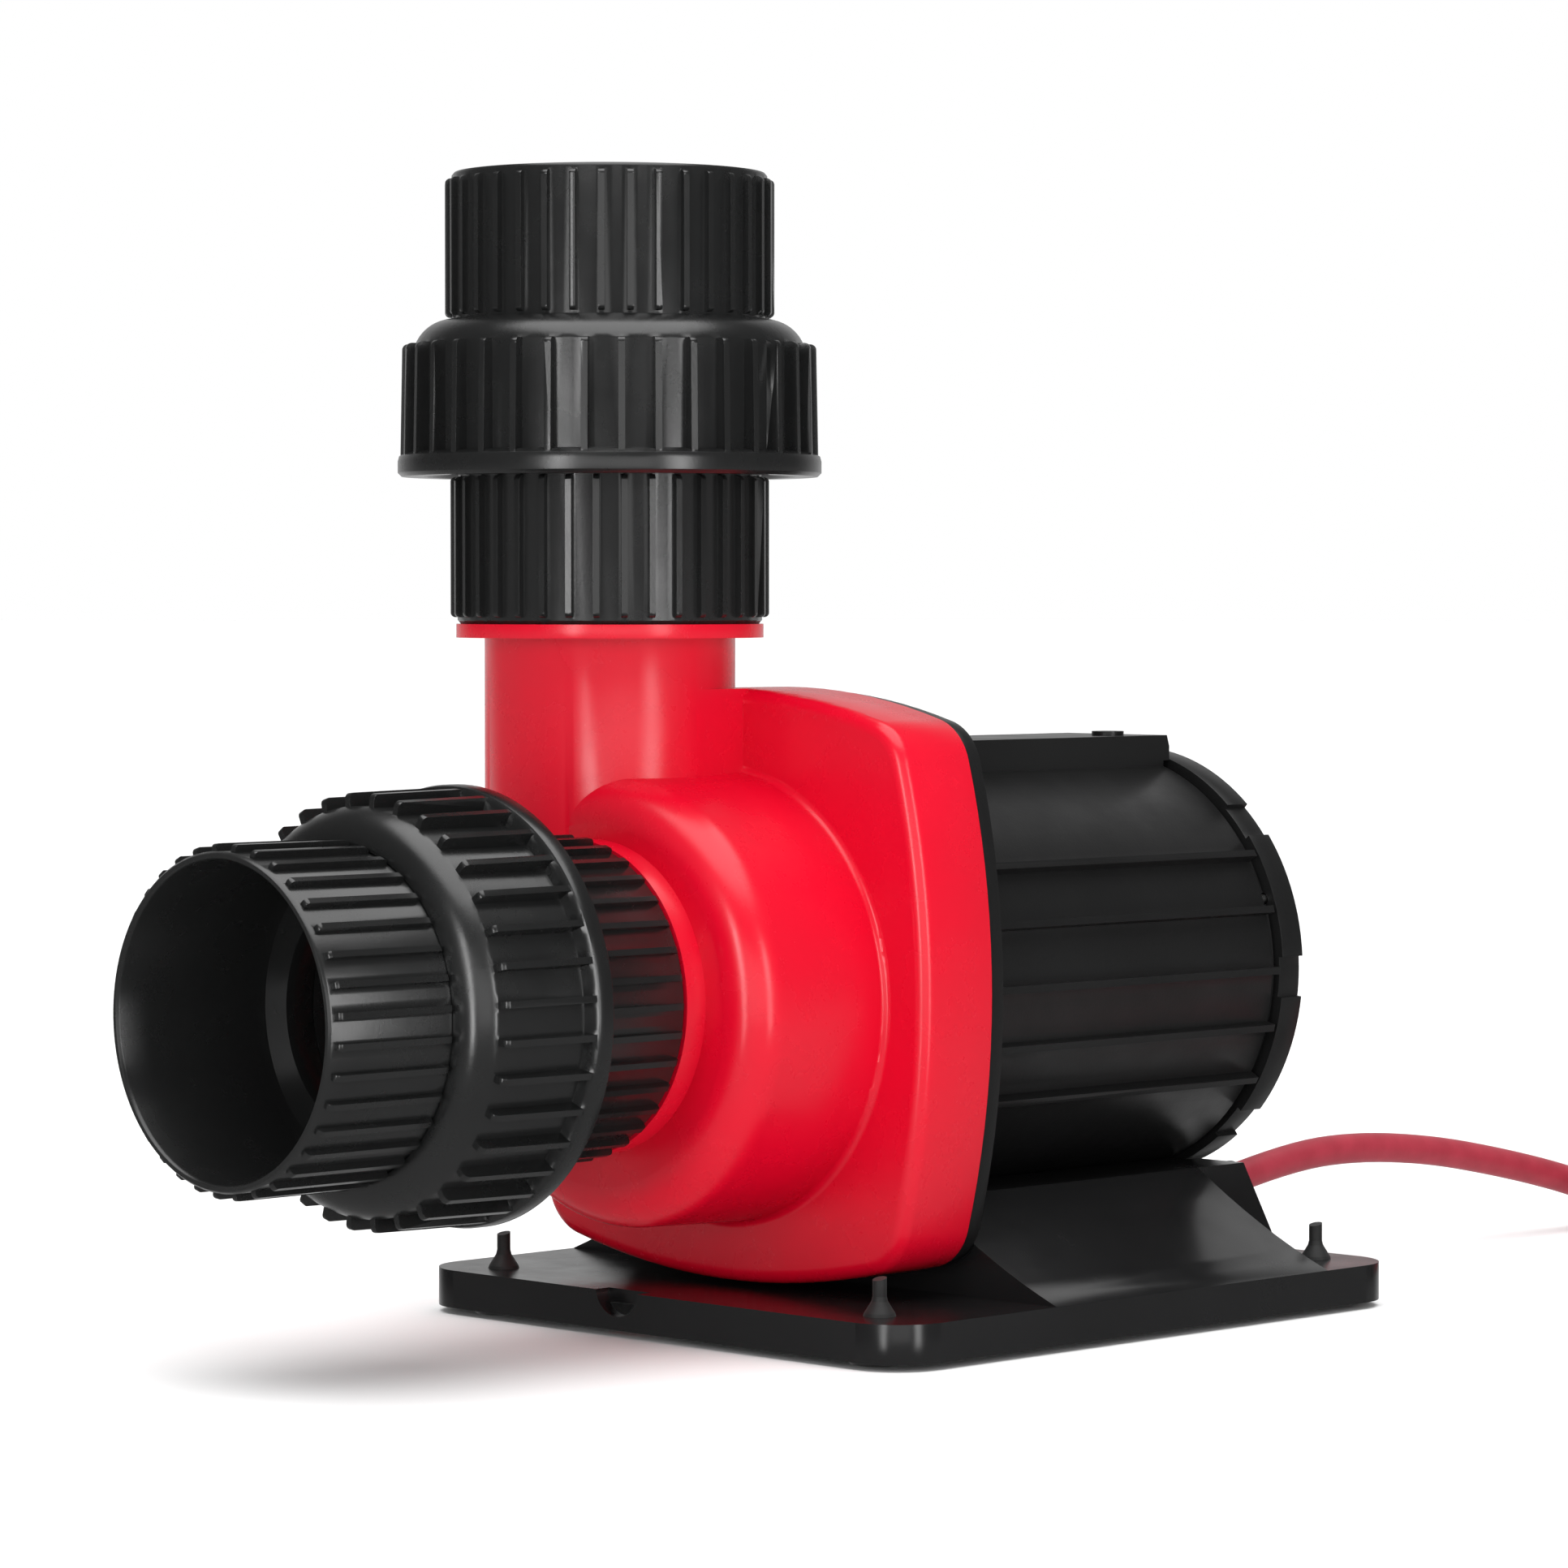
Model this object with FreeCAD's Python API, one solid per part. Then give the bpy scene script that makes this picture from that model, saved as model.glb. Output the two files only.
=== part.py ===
import FreeCAD, Part
import math
import os

# Circulating pump with a union on each port, for ponds and reef tanks. All sizes are in millimetres.
# +Z is up, the inlet looks along -Y, +X is to the right of someone facing the inlet.
# The origin is the centre of the footprint, at the floor, without the lead.

Vec = FreeCAD.Vector
os.makedirs("parts", exist_ok=True)
UP = Vec(0, 0, 1)
BACK = Vec(0, 1, 0)

# ---- driving dimensions ----
FOOT_STAND = 1.5            # the rubber feet hold the plate this far off the floor
PLATE_HALF_X = 73.25
PLATE_FRONT_Y = -22.5
PLATE_REAR_Y = 137.3
PLATE_CORNER = 12.2
PLATE_TOP_Z = 9.7
SKIN = 3.0                  # wall of the base moulding
FOOT_X = 57.0
FOOT_YS = (-11.3, 127.3)

AXIS_Z = 73.2               # shaft line
BOSS_DROP = 1.8             # the scroll boss sits this far below the shaft line
FACE_Y = 0.0                # front face of the casing's flange block
CASE_REAR_Y = 20.0
FLANGE_REAR_Y = 24.0
BODY_REAR_Y = 124.0
CAP_FRONT_Y = 126.2
CAP_REAR_Y = 133.0
CAP_R = 48.4
CAP_NECK_R = 45.6

BOSS_FRONT_Y = -36.9
BOSS_R = 46.8
BOSS_ROOT_R = 47.8
BOSS_ROUND = 9.0
ROOT_ROUND = 1.6            # where the boss meets the flange block
PORT_BORE_R = 25.0
NECK_R = 29.8
NECK_LENGTH = 22.0
COLLAR_R = 32.6
COLLAR_LENGTH = 2.9
INLET_START_Y = -42.1        # the collar in front of the boss ends here and the inlet's union begins
OUTLET_X = -20.7
OUTLET_Y = -13.4
TRUNK_R = 26.6
TRUNK_BORE_R = 22.5
TRUNK_TOP_Z = 147.3
WEB_REAR_Y = 1.5

SOCKET_R = 31.6             # solvent socket for 63 mm pipe
SOCKET_DEPTH = 38.0
ADAPTER_LENGTH = 31.1       # the stretch of each union part that shows
NUT_LENGTH = 33.1
TAIL_LENGTH = 31.0
THREAD_R = 38.2
RIB_COUNT = 36
INLET_RIB_TURNS = (0.0, 5.0, 5.0)         # where the ribs start, in degrees: adapter, nut, tailpiece
OUTLET_RIB_TURNS = (42.0, 40.0, 44.0)

MOTOR_R = 47.0
MOTOR_BORE_R = 43.5
FIN_R = 49.5
FIN_ANGLES = (-30.0, -15.0, 0.0, 16.0, 31.5)
DECK_HALF_X = 15.0
DECK_TOP = 51.5             # top of the motor's flat deck, above the shaft line
DECK_EDGE_Y = 125.2         # the deck's top edge ends here and slopes down to its end
DECK_END_Y = 126.0

SHAFT_R = 4.0
RUNNING_CLEARANCE = 0.05
BUSH_R = 6.5
HUB_R = 9.0
MAGNET_R = 19.2
CAN_BORE_R = 20.2
CAN_R = 21.7
STATOR_BORE_R = 22.0
IMPELLER_R = 38.0

CORD_D = 7.0
GLAND_X = 8.0
GLAND_Z = 15.8
GLAND_FACE_Y = PLATE_REAR_Y - 1.4
GLAND_RISE = 15.0           # degrees that the lead climbs as it leaves the block
RELIEF_LENGTH = 22.0
COIL_CENTRE = (58.0, 320.0)
COIL_RADII = (30.2, 37.2, 44.2)
COIL_LAYERS = 4
CONNECTOR_R = 9.0


def export(name, shape):
    shape.exportStep("parts/" + name + ".step")
    print(name, "solids", len(shape.Solids), "volume", round(shape.Volume, 1), "valid", shape.isValid())


def rod(radius, start, end, direction=BACK, centre=(0.0, AXIS_Z)):
    """A round bar along +Y on the shaft line, or along +Z at centre = (x, y)."""
    if direction == BACK:
        base = Vec(centre[0], start, centre[1])
    else:
        base = Vec(centre[0], centre[1], start)
    return Part.makeCylinder(radius, end - start, base, direction)


def tube(outer, inner, start, end, direction=BACK, centre=(0.0, AXIS_Z)):
    return rod(outer, start, end, direction, centre).cut(rod(inner, start - 1, end + 1, direction, centre))


def block(x0, x1, y0, y1, z0, z1):
    return Part.makeBox(x1 - x0, y1 - y0, z1 - z0, Vec(x0, y0, z0))


def side_prism(points, x0, x1):
    """A prism across the pump from (y, z) points."""
    outline = [Vec(x0, y, z) for y, z in points]
    return Part.Face(Part.makePolygon(outline + [outline[0]])).extrude(Vec(x1 - x0, 0, 0))


def join(shapes):
    """One clean solid from overlapping ones."""
    return shapes[0].multiFuse(shapes[1:]).removeSplitter()


def revolve_profile(points):
    """A solid of revolution about +Z from (radius, height) points; (r, z, "arc") marks an arc's middle."""
    edges = []
    count = len(points)
    index = 0
    while index < count:
        start = points[index]
        middle = points[(index + 1) % count]
        a = Vec(start[0], 0, start[1])
        if len(middle) == 3:
            end = points[(index + 2) % count]
            edges.append(Part.Arc(a, Vec(middle[0], 0, middle[1]), Vec(end[0], 0, end[1])).toShape())
            index += 2
        else:
            edges.append(Part.makeLine(a, Vec(middle[0], 0, middle[1])))
            index += 1
    face = Part.Face(Part.Wire(edges))
    return face.revolve(Vec(0, 0, 0), UP, 360)


def around_z(shape, count, first=0.0):
    copies = []
    for index in range(count):
        copy = shape.copy()
        copy.rotate(Vec(0, 0, 0), UP, first + 360.0 * index / count)
        copies.append(copy)
    return copies


def stand_on_shaft(shape, y):
    """Turns a shape built up +Z so that its height runs along -Y, starting at y on the shaft line."""
    shape.rotate(Vec(0, 0, 0), Vec(1, 0, 0), 90)
    shape.translate(Vec(0, y, AXIS_Z))
    return shape


def face_back(shape, y):
    """Turns a shape built up +Z so that its height runs along +Y, starting at y on the shaft line."""
    shape.rotate(Vec(0, 0, 0), Vec(1, 0, 0), -90)
    shape.translate(Vec(0, y, AXIS_Z))
    return shape


# ---- casing outline: four bowed sides and rounded corners ----
SIDE_BOW_R = 182.0
TOP_BOW_R = 158.0
BOTTOM_BOW_R = 190.0
HALF_RIGHT = 59.0
HALF_LEFT = 62.5
RISE = 63.5
FALL = 62.4
OUTLINE_CORNER = 12.0


def outline_block(y0, y1, inset=0.0):
    """The casing's outline, pulled in by inset, between two planes across the shaft."""
    right = rod(SIDE_BOW_R, y0, y1, centre=(HALF_RIGHT - inset - SIDE_BOW_R, AXIS_Z))
    left = rod(SIDE_BOW_R, y0, y1, centre=(SIDE_BOW_R - HALF_LEFT + inset, AXIS_Z))
    top = rod(TOP_BOW_R, y0, y1, centre=(0, AXIS_Z + RISE - inset - TOP_BOW_R))
    bottom = rod(BOTTOM_BOW_R, y0, y1, centre=(0, AXIS_Z - FALL + inset + BOTTOM_BOW_R))
    shape = right.common(left).common(top).common(bottom)
    corners = [edge for edge in shape.Edges if edge.BoundBox.YLength > 0.9 * (y1 - y0)
               and edge.BoundBox.XLength < 0.01]
    return shape.makeFillet(OUTLINE_CORNER - inset, corners)


SCREW_SPOTS = [(sx * 47.0, sz * 38.0) for sx in (-1, 1) for sz in (-1, 1)]
CHAMBER_R = 54.0
CHAMBER_REAR_Y = 17.0
EDGE_ROUND = 3.0


def volute_casing():
    frame = outline_block(FACE_Y, CASE_REAR_Y)
    front_edges = [edge for edge in frame.Edges if edge.BoundBox.YMax < FACE_Y + 0.01]
    frame = frame.makeFillet(EDGE_ROUND, front_edges)
    reach = FACE_Y + 2 - BOSS_FRONT_Y
    knee = BOSS_ROUND * math.sqrt(0.5)
    boss = revolve_profile([
        (0, 0), (BOSS_R - BOSS_ROUND, 0),
        (BOSS_R - BOSS_ROUND + knee, BOSS_ROUND - knee, "arc"), (BOSS_R, BOSS_ROUND),
        (BOSS_ROOT_R, reach), (0, reach)])
    boss = face_back(boss, BOSS_FRONT_Y)
    boss.translate(Vec(0, 0, -BOSS_DROP))
    trunk = rod(TRUNK_R, AXIS_Z, TRUNK_TOP_Z, UP, (OUTLET_X, OUTLET_Y))
    elbow = Part.makeSphere(TRUNK_R, Vec(OUTLET_X, OUTLET_Y, AXIS_Z))
    web = block(OUTLET_X - TRUNK_R + 3, OUTLET_X + TRUNK_R, OUTLET_Y, WEB_REAR_Y, AXIS_Z + 20, AXIS_Z + RISE)
    web = web.common(outline_block(OUTLET_Y, WEB_REAR_Y))
    collar_top = rod(COLLAR_R, TRUNK_TOP_Z, TRUNK_TOP_Z + COLLAR_LENGTH, UP, (OUTLET_X, OUTLET_Y))
    neck_top = rod(NECK_R, TRUNK_TOP_Z, TRUNK_TOP_Z + COLLAR_LENGTH + NECK_LENGTH, UP, (OUTLET_X, OUTLET_Y))
    collar_front = rod(COLLAR_R, INLET_START_Y, BOSS_FRONT_Y + 1)
    neck_front = rod(NECK_R, INLET_START_Y - NECK_LENGTH, BOSS_FRONT_Y + 1)
    outer = join([frame, boss, trunk, elbow, web, collar_top, neck_top, collar_front, neck_front])
    root_edges = [edge for edge in outer.Edges if isinstance(edge.Curve, Part.Circle)
                  and edge.BoundBox.YMin > FACE_Y - 0.01 and edge.BoundBox.YMax < FACE_Y + 0.01
                  and abs(edge.Curve.Center.z - AXIS_Z + BOSS_DROP) < 0.01]
    outer = outer.makeFillet(ROOT_ROUND, root_edges)
    inner_round = 9.5
    inner_knee = inner_round * math.sqrt(0.5)
    hollow_r = BOSS_R - 4.3
    floor_y = BOSS_FRONT_Y + 4.7
    hollow = revolve_profile([
        (0, 0), (hollow_r - inner_round, 0),
        (hollow_r - inner_round + inner_knee, inner_round - inner_knee, "arc"), (hollow_r, inner_round),
        (hollow_r, FACE_Y + 4 - floor_y), (0, FACE_Y + 4 - floor_y)])
    hollow = face_back(hollow, floor_y)
    hollow.translate(Vec(0, 0, -BOSS_DROP))
    chamber = rod(CHAMBER_R, FACE_Y + 3.5, CASE_REAR_Y + 1)
    delivery = rod(TRUNK_BORE_R, AXIS_Z, TRUNK_TOP_Z + 40, UP, (OUTLET_X, OUTLET_Y))
    suction = rod(PORT_BORE_R, BOSS_FRONT_Y - 40, BOSS_FRONT_Y + 10)
    shape = outer.cut(join([hollow, chamber, delivery, suction]))
    for x, z in SCREW_SPOTS:
        shape = shape.cut(rod(1.9, 8.0, CASE_REAR_Y + 1, centre=(x, AXIS_Z + z)))
    return shape


# ---- unions: every part is built up +Z from the port's collar, then placed ----
NUT_START = ADAPTER_LENGTH
NUT_END = ADAPTER_LENGTH + NUT_LENGTH
MOUTH = NUT_END + TAIL_LENGTH
SEAT = 50.0                 # height of the sealing face
LIP = 0.3                   # gap between the sealing faces, filled by the seal
TAIL_FLANGE_TOP = 55.5
TAIL_R = 33.4
ADAPTER_R = 32.3
SLIDE_GAP = 0.35


def rib(z0, z1, root_r, tip_r0, tip_r1, width, round_end):
    """One grip rib along +Z with rounded ends, standing on a cylinder at +X."""
    bend = round_end * (1 - math.sqrt(0.5))
    path = [
        Part.makeLine(Vec(root_r, 0, z0), Vec(tip_r0 - round_end, 0, z0)),
        Part.Arc(Vec(tip_r0 - round_end, 0, z0), Vec(tip_r0 - bend, 0, z0 + bend),
                 Vec(tip_r0, 0, z0 + round_end)).toShape(),
        Part.makeLine(Vec(tip_r0, 0, z0 + round_end), Vec(tip_r1, 0, z1 - round_end)),
        Part.Arc(Vec(tip_r1, 0, z1 - round_end), Vec(tip_r1 - bend, 0, z1 - bend),
                 Vec(tip_r1 - round_end, 0, z1)).toShape(),
        Part.makeLine(Vec(tip_r1 - round_end, 0, z1), Vec(root_r, 0, z1)),
        Part.makeLine(Vec(root_r, 0, z1), Vec(root_r, 0, z0))]
    solid = Part.Face(Part.Wire(path)).extrude(Vec(0, width, 0))
    solid.translate(Vec(0, -width / 2, 0))
    return solid


def ribbed(core, z0, z1, root_r, tip_r0, tip_r1, width, round_end, first):
    """Adds the ring of grip ribs; the first one stands at an angle in degrees round the axis."""
    one = rib(z0, z1, root_r, tip_r0, tip_r1, width, round_end)
    return join([core] + around_z(one, RIB_COUNT, first))


def union_adapter(first):
    """Ribbed sleeve screwed on the port's neck, with the male thread that the nut runs on."""
    core = revolve_profile([
        (NECK_R + 0.2, 0), (31.6, 0), (ADAPTER_R, 0.8), (ADAPTER_R, 31.6), (THREAD_R - 1.2, 32.6),
        (THREAD_R - 1.2, 33.2), (THREAD_R, 34.4), (THREAD_R, SEAT - 1.2), (THREAD_R - 1.2, SEAT),
        (34.0, SEAT), (34.0, SEAT - 3.3), (30.0, SEAT - 3.3), (30.0, SEAT),
        (PORT_BORE_R, SEAT), (PORT_BORE_R, NECK_LENGTH + 1), (NECK_R + 0.2, NECK_LENGTH + 1)])
    grooves = []
    for step in range(4):
        z = 36.4 + 3.2 * step
        groove = [(THREAD_R - 1.3, z), (THREAD_R + 1, z - 1.4), (THREAD_R + 1, z + 1.4)]
        grooves.append(revolve_profile(groove))
    core = core.cut(grooves[0].multiFuse(grooves[1:]))
    return ribbed(core, 1.4, 31.0, ADAPTER_R - 0.6, 33.8, 33.8, 1.3, 1.0, first)


def union_seal():
    ring = Part.makeTorus(32.0, 1.75, Vec(0, 0, SEAT + LIP - 1.85))
    return ring


def union_nut(first):
    """Captive nut: thread bore below, inward lip above, thirty-six grip ribs and a band."""
    smooth_r = 41.2
    shoulder = 5.4
    band_top = NUT_START + 4.8
    hole_r = TAIL_R + SLIDE_GAP
    lip_z = TAIL_FLANGE_TOP + 0.4
    bore_r = THREAD_R + 0.3
    core = revolve_profile([
        (bore_r + 1.0, NUT_START), (44.1, NUT_START), (44.9, NUT_START + 0.8), (44.9, band_top - 1.6),
        (44.6, band_top - 0.5), (43.4, band_top + 0.2), (smooth_r, band_top + 0.5),
        (smooth_r, NUT_END - shoulder), (smooth_r - 2.3, NUT_END - 2.0, "arc"),
        (smooth_r - 6.8, NUT_END), (hole_r, NUT_END), (hole_r, lip_z), (bore_r, lip_z),
        (bore_r, NUT_START + 1.0)])
    return ribbed(core, band_top - 1.2, NUT_END - shoulder + 0.2, smooth_r - 0.6, 44.3, 43.9, 1.4, 1.2, first)


def union_tail(first):
    """Tailpiece: sealing flange below, ribbed solvent socket above."""
    core = revolve_profile([
        (PORT_BORE_R, SEAT + LIP), (37.6, SEAT + LIP), (37.6, TAIL_FLANGE_TOP), (TAIL_R, TAIL_FLANGE_TOP),
        (TAIL_R, MOUTH - 0.6), (TAIL_R - 0.5, MOUTH), (SOCKET_R + 0.5, MOUTH), (SOCKET_R, MOUTH - 0.7),
        (SOCKET_R, MOUTH - SOCKET_DEPTH), (PORT_BORE_R, MOUTH - SOCKET_DEPTH)])
    return ribbed(core, NUT_END + 0.6, MOUTH - 1.4, TAIL_R - 0.5, 34.9, 34.9, 1.3, 1.0, first)


def place_outlet(shape):
    shape.translate(Vec(OUTLET_X, OUTLET_Y, TRUNK_TOP_Z + COLLAR_LENGTH))
    return shape


def place_inlet(shape):
    return stand_on_shaft(shape, INLET_START_Y)


def export_unions():
    ports = (("inlet", place_inlet, INLET_RIB_TURNS), ("outlet", place_outlet, OUTLET_RIB_TURNS))
    for port, place, turns in ports:
        export(port + "_adapter", place(union_adapter(turns[0])))
        export(port + "_union_seal", place(union_seal()))
        export(port + "_union_nut", place(union_nut(turns[1])))
        export(port + "_tailpiece", place(union_tail(turns[2])))


# ---- wet end ----
def shaft_spider():
    """Front bearing carrier in the suction neck: a ring, three vanes and a bullet nose that holds the shaft."""
    ring = tube(PORT_BORE_R - 0.05, PORT_BORE_R - 1.8, -50.0, -40.0)
    nose = revolve_profile([(0, -4.0), (4.6, -2.0, "arc"), (7.0, 3.0), (7.5, 24.0), (0, 24.0)])
    nose = face_back(nose, -46.5)
    vanes = []
    for index in range(3):
        vane = block(-1.2, 1.2, -49.0, -38.0, AXIS_Z + 4, AXIS_Z + PORT_BORE_R - 1.0)
        vane.rotate(Vec(0, 0, AXIS_Z), BACK, 60 + 120 * index)
        vanes.append(vane)
    return join([ring, nose] + vanes).cut(rod(SHAFT_R, -36.0, 0.0))


def impeller():
    """Closed impeller: back plate, coned front shroud with its eye, six swept vanes, hub."""
    plate = rod(IMPELLER_R, 4.0, 7.0)
    hub = rod(13.0, -16.0, 6.0)
    shroud = face_back(revolve_profile([
        (21.0, 0), (23.0, 0), (23.5, 4.0), (30.0, 12.5, "arc"), (IMPELLER_R, 15.5), (IMPELLER_R, 17.5),
        (28.5, 14.5, "arc"), (21.0, 5.5)]), -27.0)
    envelope = face_back(revolve_profile([
        (11.5, 9.0), (21.2, 5.0), (29.3, 13.4, "arc"), (IMPELLER_R, 16.5), (IMPELLER_R, 32.0), (11.5, 32.0)]),
        -27.0)
    vanes = []
    sweep_r = 26.0
    for index in range(6):
        vane = tube(sweep_r + 1.1, sweep_r - 1.1, -27.0, 5.0, centre=(25.0, AXIS_Z + 13.0))
        vane = vane.common(envelope)
        vane = vane.common(block(0, 60, -30, 10, AXIS_Z - 60, AXIS_Z + 12.0))
        vane.rotate(Vec(0, 0, AXIS_Z), BACK, 60 * index)
        vanes.append(vane)
    return join([plate, hub, shroud] + vanes).cut(rod(HUB_R, -20.0, 10.0))


def rotor_hub():
    stem = tube(HUB_R, BUSH_R, -19.0, 101.5)
    collar = tube(14.0, HUB_R - 1, 7.0, 12.0)
    front_ring = tube(MAGNET_R, HUB_R - 1, 33.0, 36.0)
    rear_ring = tube(MAGNET_R, HUB_R - 1, 97.0, 100.0)
    return join([stem, collar, front_ring, rear_ring])


def rotor_can():
    """Isolating can: a disc behind the impeller with a spigot, and the thin cup that the rotor turns in."""
    shape = face_back(revolve_profile([
        (CAN_BORE_R, 0), (CHAMBER_R - 0.15, 0), (CHAMBER_R - 0.15, 6.0), (CAN_R + 2, 6.0),
        (CAN_R, 8.0), (CAN_R, 97.0), (0, 97.0), (0, 90.5), (CAN_BORE_R, 90.5)]), 14.0)
    shape = shape.cut(rod(SHAFT_R, 100.0, 109.0))
    groove = tube(CHAMBER_R + 1, CHAMBER_R - 2.35, 15.2, 17.8)
    return shape.cut(groove)


# ---- motor ----
KEEL_Z = 23.0
KEEL_HALF_X = 13.0
KEEL_YS = (44.0, 104.0)
KEEL_SCREWS = [(0.0, 52.0), (0.0, 96.0)]
PLUG_SPOT = (8.0, 113.0)
CAP_SCREW_R = 45.3
CAP_SCREW_ANGLES = (20, 110, 200, 290)    # between the recesses in the rim
LOCATOR_R = 50.0


def motor_housing():
    """Flanged, finned tube with a flat deck on top and a keel that sits in the base."""
    flange = outline_block(CASE_REAR_Y + 0.6, FLANGE_REAR_Y, 0.5)
    step = outline_block(CASE_REAR_Y, CASE_REAR_Y + 0.7, 2.6)
    body = rod(MOTOR_R, FLANGE_REAR_Y - 1, BODY_REAR_Y)
    pedestal = block(-DECK_HALF_X, DECK_HALF_X, FLANGE_REAR_Y - 1, BODY_REAR_Y, AXIS_Z + 20, AXIS_Z + MOTOR_R)
    deck = side_prism([
        (FLANGE_REAR_Y - 1, AXIS_Z + CAP_NECK_R + 0.2), (FLANGE_REAR_Y - 1, AXIS_Z + DECK_TOP),
        (DECK_EDGE_Y, AXIS_Z + DECK_TOP), (DECK_END_Y, AXIS_Z + MOTOR_R + 2.0),
        (DECK_END_Y, AXIS_Z + CAP_NECK_R + 0.2)], -DECK_HALF_X, DECK_HALF_X)
    fins = []
    for side in (0, 180):
        for angle in FIN_ANGLES:
            fin = block(MOTOR_R - 1, FIN_R, FLANGE_REAR_Y - 1, BODY_REAR_Y, -0.8, 0.8)
            fin.rotate(Vec(0, 0, 0), BACK, side - angle)
            fin.translate(Vec(0, 0, AXIS_Z))
            fins.append(fin)
    keel = block(-KEEL_HALF_X, KEEL_HALF_X, KEEL_YS[0], KEEL_YS[1], KEEL_Z, AXIS_Z - MOTOR_BORE_R + 1)
    shape = join([flange, step, body, pedestal, deck, keel] + fins)
    shape = shape.cut(rod(MOTOR_BORE_R, FLANGE_REAR_Y, BODY_REAR_Y + 1))
    shape = shape.cut(rod(LOCATOR_R - 18, CASE_REAR_Y - 1, FLANGE_REAR_Y + 1))
    for x, z in SCREW_SPOTS:
        shape = shape.cut(rod(2.6, CASE_REAR_Y - 1, FLANGE_REAR_Y + 1, centre=(x, AXIS_Z + z)))
    for x, y in KEEL_SCREWS:
        shape = shape.cut(rod(1.7, KEEL_Z - 1, KEEL_Z + 5.4, UP, (x, y)))
    shape = shape.cut(rod(2.0, AXIS_Z + DECK_TOP - 5, AXIS_Z + DECK_TOP + 1, UP, PLUG_SPOT))
    for angle in CAP_SCREW_ANGLES:
        x = CAP_SCREW_R * math.cos(math.radians(angle))
        z = CAP_SCREW_R * math.sin(math.radians(angle))
        shape = shape.cut(rod(1.1, BODY_REAR_Y - 8, BODY_REAR_Y + 1, centre=(x, AXIS_Z + z)))
    return shape


def deck_plug():
    head = rod(3.6, AXIS_Z + DECK_TOP, AXIS_Z + DECK_TOP + 1.0, UP, PLUG_SPOT)
    stem = rod(2.0, AXIS_Z + DECK_TOP - 5, AXIS_Z + DECK_TOP + 0.5, UP, PLUG_SPOT)
    slot = block(PLUG_SPOT[0] - 2.6, PLUG_SPOT[0] + 2.6, PLUG_SPOT[1] - 0.5, PLUG_SPOT[1] + 0.5,
                 AXIS_Z + DECK_TOP + 0.5, AXIS_Z + DECK_TOP + 2)
    return join([head, stem]).cut(slot)


STATOR_YS = (46.0, 92.0)
TOOTH_COUNT = 9
TOOTH_WIDTH = 8.0
YOKE_R = 33.5


def stator_core():
    yoke = tube(MOTOR_BORE_R - 0.1, YOKE_R, STATOR_YS[0], STATOR_YS[1])
    teeth = []
    for index in range(TOOTH_COUNT):
        tooth = block(-TOOTH_WIDTH / 2, TOOTH_WIDTH / 2, STATOR_YS[0], STATOR_YS[1],
                      AXIS_Z + STATOR_BORE_R - 1, AXIS_Z + YOKE_R + 1)
        tooth.rotate(Vec(0, 0, AXIS_Z), BACK, 360.0 * index / TOOTH_COUNT)
        teeth.append(tooth)
    return join([yoke] + teeth).cut(rod(STATOR_BORE_R, STATOR_YS[0] - 1, STATOR_YS[1] + 1))


def stator_windings():
    """One coil round each tooth, as separate solids in one group."""
    coils = []
    half = TOOTH_WIDTH / 2
    for index in range(TOOTH_COUNT):
        outer = block(-half - 4.0, half + 4.0, STATOR_YS[0] - 5, STATOR_YS[1] + 5,
                      AXIS_Z + 24.6, AXIS_Z + 32.2)
        outer = outer.makeFillet(3.0, [e for e in outer.Edges if e.BoundBox.ZLength > 7])
        inner = block(-half - 0.1, half + 0.1, STATOR_YS[0] - 0.1, STATOR_YS[1] + 0.1,
                      AXIS_Z + 20, AXIS_Z + 40)
        coil = outer.cut(inner)
        coil.rotate(Vec(0, 0, AXIS_Z), BACK, 360.0 * index / TOOTH_COUNT)
        coils.append(coil)
    return Part.makeCompound(coils)


BOARD_Y = 115.0


def driver_board():
    board = rod(40.0, BOARD_Y, BOARD_Y + 1.6)
    return board.cut(rod(2.0, BOARD_Y - 1, BOARD_Y + 3, centre=(0, AXIS_Z + 30)))


def board_parts():
    """Capacitors, a power chip and a lead terminal standing on the board's front face."""
    shapes = []
    for x in (-26.0, -14.0):
        shapes.append(rod(4.5, BOARD_Y - 10, BOARD_Y, centre=(x, AXIS_Z + 24)))
    for index in range(3):
        shapes.append(block(8.0 + 9 * index, 14.0 + 9 * index, BOARD_Y - 3, BOARD_Y, AXIS_Z + 8, AXIS_Z + 18))
    shapes.append(block(-8.0, 8.0, BOARD_Y - 9, BOARD_Y, AXIS_Z - 36, AXIS_Z - 29))
    return Part.makeCompound(shapes)


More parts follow.
